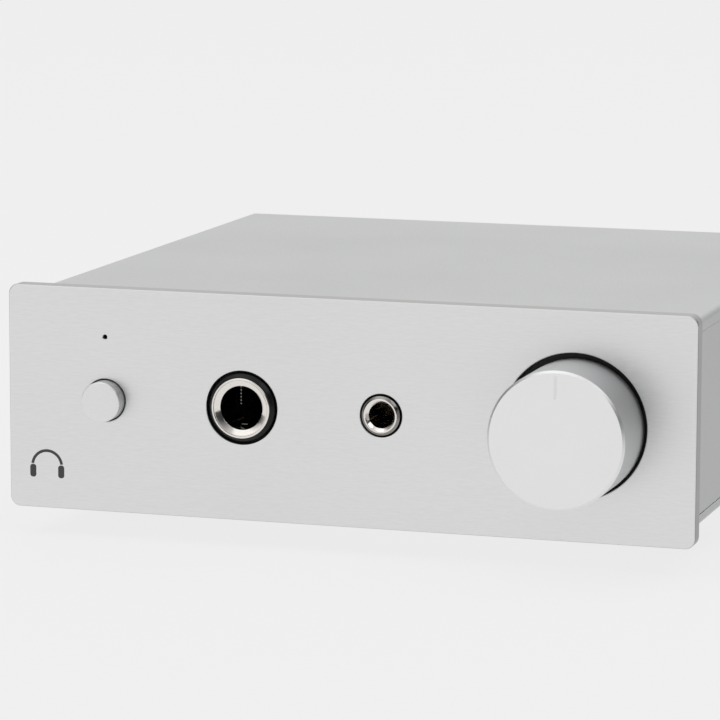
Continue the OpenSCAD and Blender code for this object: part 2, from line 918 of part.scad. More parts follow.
module phone_jack_sleeve_contact() {
    path = [
        [phone_x + phone_bore_d / 2 + 0.1, axis_z],
        [phone_sleeve_tail.x, axis_z],
        [phone_sleeve_tail.x, tail_end]];
    color("goldenrod")
        extrude_y(phone_sleeve_tail.y - tail_w / 2, phone_sleeve_tail.y + tail_w / 2)
            polygon(strip_outline(path, spring_t));
}

// ---- Mini headphone socket ----

module mini_jack_body() {
    slot_half = 0.9;
    color("black")
        union() {
            difference() {
                block([mini_x - mini_half_w, plate_back, board_top],
                    [mini_x + mini_half_w, mini_back, mini_top]);
                rod_y(mini_x, axis_z, plate_back - 1, mini_back + 1, mini_cavity_r);
                rod_y(mini_x, axis_z, plate_back - 1, mini_ferrule_end, mini_ferrule_r);
                block([mini_x - slot_half, plate_back + 8, axis_z],
                    [mini_x + slot_half, mini_back + 1, mini_top + 1]);
                block([mini_x, plate_back + 7.1, axis_z - slot_half],
                    [mini_x + mini_half_w + 1, plate_back + 8.9, axis_z + slot_half]);
            }
            at_each(mini_pegs)
                post([0, 0], tail_end, board_top + tiny, peg_r);
        }
}

// Domed ring that lines the mouth: a rim between an outer flank and an inner dish, slit on one side
module mini_jack_ferrule() {
    bore_r = mini_bore_d / 2;
    rim_front = panel_front - mini_ferrule_out;
    slit_w = 0.2;
    color("silver")
        difference() {
            turned_y(mini_x, axis_z, [
                [bore_r, mini_ferrule_end],
                [bore_r, panel_front + 0.1],
                [bore_r + ferrule_lip, panel_front + 0.1 - ferrule_lip],
                [mini_rim_r, rim_front],
                [mini_rim_r + 0.3, rim_front + 0.2],
                [mini_ferrule_r, panel_front + 0.2],
                [mini_ferrule_r, mini_ferrule_end]]);
            translate([mini_x, 0, axis_z])
                rotate([0, -205, 0])
                    block([bore_r - 0.5, rim_front - 1, -slit_w / 2],
                        [mini_rim_r - 0.1, panel_front + 0.4, slit_w / 2]);
        }
}

module mini_jack_tip_spring() {
    path = [
        [mini_tip_tail.y, tail_end],
        [mini_tip_tail.y, axis_z + 3.2],
        [plate_back + 9, axis_z + 3.2],
        [plate_back + 11, axis_z + 1.3],
        [plate_back + 12, axis_z + 1.9]];
    color("goldenrod")
        extrude_x(mini_x - tail_w / 2, mini_x + tail_w / 2)
            polygon(strip_outline(path, spring_t));
}

module mini_jack_ring_spring() {
    path = [
        [mini_x + 1.5, axis_z],
        [mini_ring_tail.x, axis_z],
        [mini_ring_tail.x, tail_end]];
    color("goldenrod")
        extrude_y(mini_ring_tail.y - tail_w / 2, mini_ring_tail.y + tail_w / 2)
            polygon(strip_outline(path, spring_t));
}

// ---- Rear sockets ----

function socket_centres() = [for (cx = [input_x, output_x], side = [-1, 1]) cx + side * socket_pitch / 2];

// A twin block: its collars pass through the rear panel and hold the shells and insulators
module socket_block(cx) {
    difference() {
        union() {
            block([cx - block_half_w, rear_in - block_l, board_top],
                [cx + block_half_w, rear_in, block_top]);
            for (side = [-1, 1])
                rod_y(cx + side * socket_pitch / 2, axis_z, rear_in - tiny, rear_out, collar_r);
        }
        for (side = [-1, 1])
            rod_y(cx + side * socket_pitch / 2, axis_z, shell_front, rear_out + 1, shell_root_r);
        rod_y(cx, axis_z + 3, rear_in - 5, rear_in + 1, small_screw_r);
    }
    for (side = [-1, 1])
        post([cx + side * 10, rear_in - 8], tail_end, board_top + tiny, peg_r);
}

module input_socket_block() {
    color("black")
        socket_block(input_x);
}

module output_socket_block() {
    color("black")
        socket_block(output_x);
}

module socket_shell(x) {
    inner_r = shell_r - shell_wall;
    turned_y(x, axis_z, [
        [inner_r, shell_front],
        [shell_root_r, shell_front],
        [shell_root_r, rear_out],
        [shell_r, rear_out],
        [shell_r, socket_end - 0.4],
        [shell_r - 0.3, socket_end],
        [inner_r, socket_end]]);
}

module input_left_shell() {
    color("silver")
        socket_shell(socket_centres()[0]);
}

module input_right_shell() {
    color("silver")
        socket_shell(socket_centres()[1]);
}

module output_left_shell() {
    color("silver")
        socket_shell(socket_centres()[2]);
}

module output_right_shell() {
    color("silver")
        socket_shell(socket_centres()[3]);
}

module socket_insulators() {
    color("white")
        for (x = socket_centres())
            turned_y(x, axis_z, [
                [contact_outer_r, shell_front],
                [shell_r - shell_wall, shell_front],
                [shell_r - shell_wall, insulator_back],
                [contact_outer_r, insulator_back]]);
}

module socket_centre_contacts() {
    color("gold")
        for (x = socket_centres())
            turned_y(x, axis_z, [
                [0, shell_front],
                [contact_outer_r, shell_front],
                [contact_outer_r, insulator_back - 0.3],
                [contact_bore_r, insulator_back - 0.3],
                [contact_bore_r, shell_front + 1],
                [0, shell_front + 1]]);
}

module socket_block_screws() {
    color("dimgray")
        for (x = [input_x, output_x])
            difference() {
                union() {
                    rod_y(x, axis_z + 3, rear_in - 4.5, rear_out + tiny, small_screw_r);
                    rod_y(x, axis_z + 3, rear_out, rear_out + 1.3, 1.75);
                }
                rod_y(x, axis_z + 3, rear_out + 0.5, rear_out + 2, 0.8);
            }
}

module dc_inlet_body() {
    half_w = 4.5;
    color("black")
        union() {
            difference() {
                union() {
                    block([inlet_x - half_w, rear_in - 12.5, board_top],
                        [inlet_x + half_w, rear_in, inlet_z + 4.5]);
                    rod_y(inlet_x, inlet_z, rear_in - tiny, rear_out, inlet_nose_r);
                }
                rod_y(inlet_x, inlet_z, rear_out - 9.5, rear_out + 1, inlet_bore_r);
                rod_y(inlet_x, inlet_z, rear_in - 13.5, rear_out - 8, inlet_pin_d / 2);
            }
            at_each(inlet_pegs)
                post([0, 0], tail_end, board_top + tiny, peg_r);
        }
}

module dc_inlet_pin() {
    pin_r = inlet_pin_d / 2;
    color("silver")
        turned_y(inlet_x, inlet_z, [
            [0, rear_in - 13.2],
            [pin_r, rear_in - 13.2],
            [pin_r, rear_out - 1.2],
            [pin_r - 0.4, rear_out - 0.6],
            [0, rear_out - 0.6]]);
}

// ---- Parts on the board ----

// A can capacitor with the rolled bead near its base
module can_capacitor(x, y, d, h) {
    r = d / 2;
    bead = 0.35;
    translate([x, y, board_top])
        rotate_extrude()
            polygon([[0, 0], [r, 0], [r, 1], [r - bead, 1.4], [r, 1.8],
                [r, h - 0.5], [r - 0.5, h], [0, h]]);
}

module reservoir_capacitors() {
    color("darkslateblue")
        for (y = [-8, 6])
            can_capacitor(-34.5, y, 12.5, 18);
}

module coupling_capacitors() {
    color("darkslateblue")
        for (i = [0:3])
            can_capacitor(8 + 9 * i, 6, 8, 11.5);
}

module film_capacitors() {
    color("firebrick")
        for (i = [0:5])
            block([11 + 5 * i, 14, board_top], [13.5 + 5 * i, 21.2, board_top + 6.5]);
}

// An eight-leg amplifier chip with a notch at its pin 1 end
module chip(x, y) {
    body_w = 6.4;
    body_l = 9.8;
    leg_pitch = 2.54;
    difference() {
        block([x - body_w / 2, y - body_l / 2, board_top + 0.5],
            [x + body_w / 2, y + body_l / 2, board_top + 3.9]);
        post([x, y - body_l / 2], board_top + 3.4, board_top + 5, 1);
    }
    for (side = [-1, 1], i = [-1.5:1:1.5])
        translate([x + side * (body_w / 2 + 0.25), y + i * leg_pitch, board_top])
            block([-0.26, -0.6, 0], [0.26, 0.6, 2.4]);
}

module op_amps() {
    color("black")
        for (p = [[16, -32], [31, -29], [-1, -10]])
            chip(p.x, p.y);
}

// A lying resistor: body, end caps and two bent leads that meet the board
module resistor(x, y) {
    r = 1.15;
    body_l = 6;
    lead_r = 0.3;
    lead_span = 10;
    z = board_top + r + 0.2;
    rod_y(x, z, y - lead_span / 2, y + lead_span / 2, lead_r);
    rod_y(x, z, y - body_l / 2, y + body_l / 2, r - 0.15);
    for (side = [-1, 1]) {
        rod_y(x, z, y + side * (body_l / 2 - 0.75) - 0.75, y + side * (body_l / 2 - 0.75) + 0.75, r);
        post([x, y + side * lead_span / 2], board_top, z, lead_r);
    }
}

module resistors() {
    color("cornflowerblue")
        for (i = [0:7])
            resistor(8 + 4 * i, -6);
}

module voltage_regulator() {
    x = -19;
    y = 14;
    leg_pitch = 2.54;
    color("black")
        union() {
            block([x - 5, y - 4.4, board_top + 4], [x + 5, y - 1.2, board_top + 13]);
            difference() {
                block([x - 5, y - 1.2 - tiny, board_top + 4], [x + 5, y, board_top + 19]);
                rod_y(x, board_top + 16, y - 3, y + 1, 1.8);
            }
            for (i = [-1, 0, 1])
                translate([x + leg_pitch * i, y - 2.7, board_top])
                    block([-0.4, -0.3, 0], [0.4, 0.3, 4 + tiny]);
        }
}

module heatsink() {
    x = -19;
    y = 14;
    fin_count = 6;
    half_w = 10;
    fin_l = 8;
    fin_t = 1.2;
    color("darkgray")
        union() {
            block([x - half_w, y, board_top], [x + half_w, y + 2, board_top + 19.5]);
            for (i = [0:fin_count - 1])
                let (fx = x - half_w + i * (2 * half_w - fin_t) / (fin_count - 1))
                    block([fx, y + 2 - tiny, board_top], [fx + fin_t, y + 2 + fin_l, board_top + 19.5]);
        }
}

module output_relay() {
    color("ivory")
        block([-4, 16, board_top], [4, 31, board_top + 11]);
}

front_panel();
inner_front_plate();
front_panel_screws();
front_plate_screws();
left_side_wall();
right_side_wall();
top_cover();
bottom_plate();
rear_panel();
rear_panel_screws();
cover_pillars();
rubber_feet();
foot_screws();
main_board();
board_standoffs();
board_screws();
volume_knob();
knob_set_screw();
pot_shaft();
pot_wiper();
pot_body();
pot_rear_cover();
pot_bushing();
pot_nut();
pot_track();
power_button();
switch_stem();
switch_body();
switch_spring();
power_lamp();
light_guide();
phone_jack_body();
phone_jack_ferrule();
phone_jack_tip_spring();
phone_jack_ring_spring();
phone_jack_sleeve_contact();
mini_jack_body();
mini_jack_ferrule();
mini_jack_tip_spring();
mini_jack_ring_spring();
input_socket_block();
output_socket_block();
input_left_shell();
input_right_shell();
output_left_shell();
output_right_shell();
socket_insulators();
socket_centre_contacts();
socket_block_screws();
dc_inlet_body();
dc_inlet_pin();
reservoir_capacitors();
coupling_capacitors();
film_capacitors();
op_amps();
resistors();
voltage_regulator();
heatsink();
output_relay();
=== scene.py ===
"""Looks of a desktop headphone amplifier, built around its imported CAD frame.

Every length is in metres, in the CAD's own frame: +X to the right, +Y to the back, +Z up.
"""

from math import cos, pi, radians, sin, tan

import bmesh
import bpy
from mathutils import Matrix, Vector


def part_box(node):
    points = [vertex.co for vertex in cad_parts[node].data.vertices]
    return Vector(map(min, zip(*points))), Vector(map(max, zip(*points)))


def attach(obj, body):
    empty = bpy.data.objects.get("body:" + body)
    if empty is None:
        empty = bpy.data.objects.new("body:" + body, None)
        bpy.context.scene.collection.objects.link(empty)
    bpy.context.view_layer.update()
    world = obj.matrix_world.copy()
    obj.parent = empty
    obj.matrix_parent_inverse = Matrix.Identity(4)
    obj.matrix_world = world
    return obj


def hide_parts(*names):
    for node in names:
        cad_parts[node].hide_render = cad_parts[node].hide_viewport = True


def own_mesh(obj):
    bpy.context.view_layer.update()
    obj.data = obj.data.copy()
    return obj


MM = 0.001
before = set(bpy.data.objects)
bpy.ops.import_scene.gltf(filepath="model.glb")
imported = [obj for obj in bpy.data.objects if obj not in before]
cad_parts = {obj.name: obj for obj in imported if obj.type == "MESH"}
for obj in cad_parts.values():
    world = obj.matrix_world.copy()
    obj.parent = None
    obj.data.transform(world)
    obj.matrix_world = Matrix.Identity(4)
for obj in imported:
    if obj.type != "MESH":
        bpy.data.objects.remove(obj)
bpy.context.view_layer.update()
scene = bpy.context.scene

# Sockets of a Mix node: its share, and then two inputs and the result, for numbers and for colours
MIX_SHARE = 0
MIX_NUMBERS = (2, 3, 0)
MIX_COLOURS = (6, 7, 2)


# ---- Materials ----


def link(tree, start, end):
    tree.links.new(start, end)


def add_node(tree, kind, **inputs):
    """A new node with some of its input sockets set by name."""
    made = tree.nodes.new(kind)
    for socket, value in inputs.items():
        made.inputs[socket.replace("_", " ")].default_value = value
    return made


def noise(tree, scale, stretch=(1, 1, 1), detail=3.0):
    """Noise in the piece's own space. A stretch above 1 squeezes the grain along that axis."""
    place = add_node(tree, "ShaderNodeTexCoord")
    squeeze = add_node(tree, "ShaderNodeMapping", Scale=stretch)
    pattern = add_node(tree, "ShaderNodeTexNoise", Scale=scale, Detail=detail)
    link(tree, place.outputs["Object"], squeeze.inputs["Vector"])
    link(tree, squeeze.outputs["Vector"], pattern.inputs["Vector"])
    return pattern.outputs["Fac"]


def remap(tree, value, low, high, start=0.3, end=0.7):
    """Maps a value that lies from start to end, as most noise does, to the range from low to high."""
    made = add_node(
        tree, "ShaderNodeMapRange", From_Min=start, From_Max=end, To_Min=low, To_Max=high
    )
    link(tree, value, made.inputs["Value"])
    return made.outputs["Result"]


def multiply(tree, first, second):
    made = tree.nodes.new("ShaderNodeMath")
    made.operation = "MULTIPLY"
    link(tree, first, made.inputs[0])
    link(tree, second, made.inputs[1])
    return made.outputs["Value"]


def scale_colour(tree, colour, factor):
    made = tree.nodes.new("ShaderNodeVectorMath")
    made.operation = "SCALE"
    link(tree, colour, made.inputs[0])
    link(tree, factor, made.inputs["Scale"])
    return made.outputs["Vector"]


def mix(tree, share, first, second, sockets=MIX_COLOURS):
    """Two colours or two numbers mixed by a value. Each is a constant or another node's output."""
    first_input, second_input, result = sockets
    made = tree.nodes.new("ShaderNodeMix")
    made.data_type = "RGBA" if sockets == MIX_COLOURS else "FLOAT"
    link(tree, share, made.inputs[MIX_SHARE])
    for socket, value in ((made.inputs[first_input], first), (made.inputs[second_input], second)):
        if isinstance(value, tuple):
            socket.default_value = (*value, 1)
        elif isinstance(value, float):
            socket.default_value = value
        else:
            link(tree, value, socket)
    return made.outputs[result]


def dot_product(tree, first, second):
    """How far two directions agree. The second one is a vector or another node's output."""
    made = tree.nodes.new("ShaderNodeVectorMath")
    made.operation = "DOT_PRODUCT"
    link(tree, first, made.inputs[0])
    if isinstance(second, Vector):
        made.inputs[1].default_value = second
    else:
        link(tree, second, made.inputs[1])
    return made.outputs["Value"]


def edge_mask(tree, radius):
    """1 along the edges of a piece and 0 on its flat faces, within a radius."""
    on_edge = 0.86
    on_flat = 0.995
    rounded = add_node(tree, "ShaderNodeBevel", Radius=radius)
    rounded.samples = 4
    surface = tree.nodes.new("ShaderNodeNewGeometry")
    facing = dot_product(tree, rounded.outputs["Normal"], surface.outputs["True Normal"])
    return remap(tree, facing, 1, 0, start=on_edge, end=on_flat)


def shade(colour, factor):
    return tuple(min(1.0, channel * factor) for channel in colour)


def make_finish(
    name,
    colour,
    metallic=0.0,
    roughness=0.5,
    roughness_spread=0.06,
    grain=4000,
    stretch=(1, 1, 1),
    relief=0.004 * MM,
    tint=0.03,
    fleck=0.03,
    blotch=60,
    wear=None,
    wear_radius=0.15 * MM,
    worn_roughness=0.25,
    anisotropy=0.0,
    around=None,
    side_shade=None,
    **sockets,
):
    """A material whose colour, roughness and relief vary with noise.

    grain and blotch are the scales of the fine and the coarse noise, tint and fleck how far the
    colour moves with the coarse and the fine one, relief the height of the grain, wear the colour
    along the edges (rubbed wear on most pieces, painted shade on the front plate and in part a
    painted highlight on the button), around the axis that a brushed finish runs round, and
    side_shade the factor of painted shade that darkens the faces that look along X, set to match
    the photograph.
    """
    material = bpy.data.materials.new(name)
    material.use_nodes = True
    tree = material.node_tree
    shader = tree.nodes["Principled BSDF"]
    shader.inputs["Metallic"].default_value = metallic
    shader.inputs["Anisotropic"].default_value = anisotropy
    for socket, value in sockets.items():
        shader.inputs[socket.replace("_", " ")].default_value = value

    fine = noise(tree, grain, stretch)
    coarse = noise(tree, blotch, detail=2.0)
    base = mix(tree, remap(tree, coarse, 0, 1), shade(colour, 1 - tint), shade(colour, 1 + tint))
    final_colour = scale_colour(tree, base, remap(tree, fine, 1 - fleck, 1 + fleck))
    rough = remap(tree, fine, roughness - roughness_spread, roughness + roughness_spread)
    # Painted shade: the faces that look along X come out darker by the side_shade factor
    if side_shade:
        place = tree.nodes.new("ShaderNodeTexCoord")
        along = tree.nodes.new("ShaderNodeSeparateXYZ")
        link(tree, place.outputs["Normal"], along.inputs["Vector"])
        squared = multiply(tree, along.outputs["X"], along.outputs["X"])
        darker = remap(tree, squared, 1, side_shade, start=0, end=1)
        final_colour = scale_colour(tree, final_colour, darker)
    # Edge colour: rubbed wear on most pieces, painted shade along the front plate's edges and in part a
    # painted highlight on the button's rim
    if wear:
        least_edge_share = 0.4
        edge_share = multiply(
            tree, edge_mask(tree, wear_radius), remap(tree, coarse, least_edge_share, 1)
        )
        final_colour = mix(tree, edge_share, final_colour, wear)
        rough = mix(tree, edge_share, rough, worn_roughness, MIX_NUMBERS)
    link(tree, final_colour, shader.inputs["Base Color"])
    link(tree, rough, shader.inputs["Roughness"])

    bump = add_node(tree, "ShaderNodeBump", Strength=1.0, Distance=relief)
    link(tree, fine, bump.inputs["Height"])
    link(tree, bump.outputs["Normal"], shader.inputs["Normal"])
    if around:
        brushed = tree.nodes.new("ShaderNodeTangent")
        brushed.direction_type = "RADIAL"
        brushed.axis = around
        link(tree, brushed.outputs["Tangent"], shader.inputs["Tangent"])
    return material


def make_finishes():
    """One material for each material slot of the record, and a few that only pieces made here use."""
    metal = dict(metallic=1.0)
    plastic = dict(Specular_IOR_Level=0.45)
    looks = {
        # Its wear colour is darker than the plate: painted shade along its rounded edges
        "front_aluminium": dict(
            metal, colour=(0.798, 0.798, 0.798), roughness=0.36, grain=700, stretch=(1, 10, 10),
            relief=0.002 * MM, fleck=0.035, blotch=25, tint=0.012, wear=(0.73, 0.73, 0.73),
            anisotropy=0.5, around="Z",
        ),
        # Case sheet: side_shade paints shade on its faces that look along X, such as the side walls
        "case_metal": dict(
            metal, colour=(0.642, 0.653, 0.645), grain=2200, fleck=0.06, blotch=30, tint=0.025,
            wear=(0.68, 0.69, 0.69), worn_roughness=0.35, side_shade=0.8,
        ),
        "rear_steel": dict(
            metal, colour=(0.5, 0.51, 0.51), roughness=0.42, grain=3200, relief=0.003 * MM,
            fleck=0.05, wear=(0.75, 0.75, 0.75),
        ),
        "plated_steel": dict(metal, colour=(0.6, 0.6, 0.57), roughness=0.35, grain=2500, fleck=0.06),
        # The inner front plate is black all over: painted shade in the gaps behind the panel's holes
        "black_paint": dict(colour=(0.02, 0.02, 0.021), grain=3500),
        "black_screws": dict(
            metal, colour=(0.05, 0.05, 0.052), roughness=0.38, grain=5000, fleck=0.1,
            wear=(0.22, 0.22, 0.22),
        ),
        "brass": dict(
            metal, colour=(0.72, 0.52, 0.24), roughness=0.28, grain=2500, anisotropy=0.4, around="Y",
        ),
        "foot_rubber": dict(
            plastic, colour=(0.018, 0.018, 0.019), roughness=0.82, grain=2600, relief=0.012 * MM,
            fleck=0.12, wear=(0.045, 0.045, 0.047), worn_roughness=0.7,
        ),
        "board_laminate": dict(
            colour=(0.012, 0.1, 0.035), roughness=0.3, grain=1800, tint=0.12, Coat_Weight=0.4,
        ),
        "knob_aluminium": dict(
            metal, colour=(0.866, 0.866, 0.864), roughness=0.34, roughness_spread=0.04, grain=6000,
            relief=0.0012 * MM, fleck=0.02, tint=0.01, blotch=80,
        ),
        # Its wear colour is brighter: worn edges and in part a painted highlight on the rim
        "button_aluminium": dict(
            metal, colour=(0.79, 0.788, 0.8), roughness=0.3, roughness_spread=0.04, grain=7000,
            relief=0.001 * MM, fleck=0.012, tint=0.01, blotch=120, wear=(0.86, 0.86, 0.86),
            wear_radius=0.08 * MM, worn_roughness=0.2,
        ),
        "pot_metal": dict(metal, colour=(0.42, 0.44, 0.47), roughness=0.4, grain=3000, fleck=0.06),
        "pot_carbon": dict(colour=(0.03, 0.02, 0.014), roughness=0.6, grain=5000, fleck=0.2),
        "contact_metal": dict(metal, colour=(0.75, 0.6, 0.34), roughness=0.25, grain=4500, fleck=0.05),
        "black_plastic": dict(
            colour=(0.009, 0.009, 0.01), roughness=0.24, grain=5200, fleck=0.15,
            Specular_IOR_Level=0.22,
        ),
        "white_plastic": dict(plastic, colour=(0.72, 0.71, 0.68), roughness=0.42, grain=3000),
        "spring_steel": dict(metal, colour=(0.55, 0.55, 0.56), roughness=0.25, grain=6000, fleck=0.05),
        "lamp_body": dict(plastic, colour=(0.75, 0.7, 0.5), roughness=0.3, grain=3000),
        "clear_acrylic": dict(
            colour=(0.92, 0.96, 0.97), roughness=0.09, roughness_spread=0.03, grain=2000,
            relief=0.001 * MM, tint=0.01, fleck=0.01, Transmission_Weight=1.0, IOR=1.49,
        ),
        "nickel": dict(
            metal, colour=(0.83, 0.795, 0.755), roughness=0.13, roughness_spread=0.03, grain=5000,
            relief=0.001 * MM, tint=0.02,
        ),
        "capacitor_sleeve": dict(plastic, colour=(0.02, 0.025, 0.075), roughness=0.28, grain=2500),
        "red_plastic": dict(plastic, colour=(0.42, 0.02, 0.015), roughness=0.33, grain=3000),
        "chip_black": dict(plastic, colour=(0.02, 0.02, 0.021), roughness=0.6, grain=6000, fleck=0.15),
        "resistor_blue": dict(plastic, colour=(0.07, 0.2, 0.42), roughness=0.3, grain=3500),
        "heatsink_metal": dict(metal, colour=(0.16, 0.16, 0.17), roughness=0.5, grain=4500, fleck=0.08),
        "relay_case": dict(plastic, colour=(0.7, 0.68, 0.6), roughness=0.35, grain=2500),
        "polished_edge": dict(
            metal, colour=(0.82, 0.82, 0.82), roughness=0.42, roughness_spread=0.04, grain=9000,
            relief=0.0006 * MM, fleck=0.01, tint=0.01,
        ),
        "turned_side": dict(
            metal, colour=(0.65, 0.655, 0.66), roughness=0.6, roughness_spread=0.04, grain=6000,
            relief=0.0012 * MM, fleck=0.02, tint=0.01, blotch=80,
        ),
        "engraved_line": dict(
            metal, colour=(0.81, 0.81, 0.81), roughness=0.42, roughness_spread=0.04, grain=9000,
            relief=0.0012 * MM, tint=0.01,
        ),
        # Nickel painted darker: painted shade on the small ring's outer flank and on the contacts inside
        # the full-size socket
        "nickel_in_painted_shade": dict(
            metal, colour=(0.27, 0.262, 0.25), roughness=0.2, roughness_spread=0.05, grain=5000,
            relief=0.001 * MM, fleck=0.04,
        ),
        # Side faces of the front plate: darker than its face, partly their milled finish and partly painted
        # shade, and side_shade paints more shade where they look along X
        "cut_edge_with_painted_shade": dict(
            metal, colour=(0.47, 0.475, 0.465), roughness=0.38, roughness_spread=0.05, grain=900,
            stretch=(1, 8, 8), relief=0.002 * MM, tint=0.01, side_shade=0.68,
        ),
        "print_ink": dict(colour=(0.045, 0.045, 0.047), roughness=0.55, grain=9000, fleck=0.25),
    }
    for old in list(bpy.data.materials):
        old.name = "cad_" + old.name
    return {name: make_finish(name, **look) for name, look in looks.items()}


FINISHES = make_finishes()


# ---- Mesh building ----

# Points closer than this are one point
MERGE_DISTANCE = 0.0001 * MM

# The Y part of a face's normal is above the first on a flat face and below the second on a side wall
FLAT_LEAN = 0.95
SIDE_LEAN = 0.4


def circle(centre, radius, count=96):
    """Points of an anticlockwise circle in X and Z."""
    return [
        centre + Vector((cos(2 * pi * i / count), sin(2 * pi * i / count))) * radius
        for i in range(count)
    ]


def hexagon(centre, across_flats):
    return circle(centre, across_flats / 2 / cos(pi / 6), count=6)


def round_box(low, high, radius, steps=8):
    """Points of an anticlockwise rectangle in X and Z with round corners."""
    corners = (
        (high.x - radius, high.y - radius, 0),
        (low.x + radius, high.y - radius, 90),
        (low.x + radius, low.y + radius, 180),
        (high.x - radius, low.y + radius, 270),
    )
    return [
        Vector((x + radius * cos(radians(start + turn)), z + radius * sin(radians(start + turn))))
        for x, z, start in corners
        for turn in [90 * k / steps for k in range(steps + 1)]
    ]


def inset(outline, distance):
    """The outline moved to its left by a distance, with mitred corners."""
    moved = []
    for i, point in enumerate(outline):
        before = (point - outline[i - 1]).normalized()
        after = (outline[(i + 1) % len(outline)] - point).normalized()
        along = (before + after).normalized()
        moved.append(point + Vector((-along.y, along.x)) * distance / along.dot(before))
    return moved


def rim(front, back, front_edge, back_edge=None, steps=3):
    """Stations (inset, y) down a wall from its front face to its back face, with round edges."""
    back_edge = front_edge if back_edge is None else back_edge
    turns = [radians(90) * k / steps for k in range(steps + 1)]
    return [(front_edge * (1 - sin(t)), front + front_edge * (1 - cos(t))) for t in turns] + [
        (back_edge * (1 - sin(t)), back - back_edge * (1 - cos(t))) for t in reversed(turns)
    ]


def bridge(bm, first, second):
    """Faces between two loops of as many points. A loop of one point closes to a cone."""
    count = max(len(first), len(second))
    for i in range(count):
        ring = []
        for loop, k in ((first, i - 1), (first, i), (second, i), (second, i - 1)):
            vertex = loop[k] if len(loop) > 1 else loop[0]
            if vertex not in ring:
                ring.append(vertex)
        if len(ring) > 2:
            bm.faces.new(ring)


def wall(bm, outline, stations):
    """The side of a solid along Y: its first and its last loop are returned, still open."""
    loops = []
    for distance, y in stations:
        points = inset(outline, distance) if distance else outline
        loops.append([bm.verts.new((p.x, y, p.y)) for p in points])
    for first, second in zip(loops, loops[1:]):
        bridge(bm, first, second)
    return loops[0], loops[-1]


def fill(bm, *loops):
    """A flat face inside the first loop, with the other loops as its holes."""
    edges = []
    for loop in loops:
        for i, vertex in enumerate(loop):
            edges.append(bm.edges.get((loop[i - 1], vertex)) or bm.edges.new((loop[i - 1], vertex)))
    for edge in edges:
        edge.smooth = False
    bmesh.ops.triangle_fill(bm, use_beauty=True, use_dissolve=False, edges=edges)


def pocket(bm, outline, stations):
    """A blind hole: returns its open loop."""
    opening, floor_loop = wall(bm, outline, stations)
    fill(bm, floor_loop)
    return opening


def plate(bm, outlines, front, back, edge):
    """A plate across Y. Of its outlines the first is the outside and the others are holes."""
    front_loops = []
    back_loops = []
    for i, outline in enumerate(outlines):
        points = outline if i == 0 else outline[::-1]
        front_loop, back_loop = wall(bm, points, rim(front, back, edge))
        front_loops.append(front_loop)
        back_loops.append(back_loop)
    fill(bm, *front_loops)
    fill(bm, *back_loops)


def round_corners(points, steps=4):
    """A profile (radius, y, size of the rounding) with each corner replaced by an arc."""
    path = []
    for i, (x, y, size) in enumerate(points):
        corner = Vector((x, y))
        before = Vector(points[i - 1][:2]) - corner
        after = Vector(points[(i + 1) % len(points)][:2]) - corner
        if size == 0:
            path.append(corner)
            continue
        half = before.angle(after) / 2
        start = corner + before.normalized() * size / tan(half)
        end = corner + after.normalized() * size / tan(half)
        middle = corner + (before.normalized() + after.normalized()).normalized() * size / sin(half)
        for k in range(steps + 1):
            arm = (start - middle).slerp(end - middle, k / steps)
            path.append(middle + arm.normalized() * size)
    return path


def turned(bm, centre, profile, closed=True, count=128):
    """Revolves a profile of (radius, y) points about a line along Y. Returns the first and last loop."""
    loops = []
    for radius, y in profile:
        points = circle(centre, radius, count) if radius > 0 else [centre]
        loops.append([bm.verts.new((p.x, y, p.y)) for p in points])
    for first, second in zip(loops, loops[1:]):
        bridge(bm, first, second)
    if closed:
        bridge(bm, loops[-1], loops[0])
    return loops[0], loops[-1]


def make_piece(name, bm, finish, body="case", stands_for=(), sharp=40, extra_finishes=()):
    """Turns a bmesh into a piece that rides on a body and stands for CAD nodes."""
    bmesh.ops.remove_doubles(bm, verts=bm.verts, dist=MERGE_DISTANCE)
    bmesh.ops.recalc_face_normals(bm, faces=bm.faces)
    for face in bm.faces:
        face.smooth = True
    for edge in bm.edges:
        if edge.is_manifold and edge.calc_face_angle() > radians(sharp):
            edge.smooth = False
    mesh = bpy.data.meshes.new(name)
    bm.to_mesh(mesh)
    bm.free()
    mesh.materials.append(FINISHES[finish])
    for extra in extra_finishes:
        mesh.materials.append(FINISHES[extra])
    piece = bpy.data.objects.new(name, mesh)
    scene.collection.objects.link(piece)
    keep_flat(piece)
    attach(piece, body)
    if stands_for:
        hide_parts(*stands_for)
    return piece


def keep_flat(piece):
    """Leans the normals to the largest faces, so that flat faces look flat beside small roundings."""
    face_size_bias = 80
    flat = piece.modifiers.new("flat faces", "WEIGHTED_NORMAL")
    flat.keep_sharp = True
    flat.weight = face_size_bias


def soften(node, width):
    """Rounds the edges of a carried-over CAD node with modifiers. Its own mesh stays as packed."""
    flat_angle = radians(0.5)
    edge_angle = radians(35)
    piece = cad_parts[node]
    weld = piece.modifiers.new("joined corners", "WELD")
    weld.merge_threshold = MERGE_DISTANCE
    merged = piece.modifiers.new("whole faces", "DECIMATE")
    merged.decimate_type = "DISSOLVE"
    merged.angle_limit = flat_angle
    edges = piece.modifiers.new("soft edges", "BEVEL")
    edges.limit_method = "ANGLE"
    edges.angle_limit = edge_angle
    edges.width = width
    edges.segments = 2
    edges.use_clamp_overlap = True
    keep_flat(piece)


def axis_of(node):
    """Where a node's axis along Y passes, in X and Z."""
    low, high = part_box(node)
    return Vector(((low.x + high.x) / 2, (low.z + high.z) / 2))


# ---- Places taken from the CAD frame ----

panel_low, panel_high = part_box("front_panel")
PANEL_FRONT = panel_low.y
PANEL_BACK = panel_high.y
AXIS_Z = (panel_low.z + panel_high.z) / 2
KNOB = axis_of("volume_knob")
BUTTON = axis_of("power_button")
PHONE = axis_of("phone_jack_ferrule")
MINI = axis_of("mini_jack_ferrule")
REAR_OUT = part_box("rear_panel")[1].y


# ---- Front panel ----


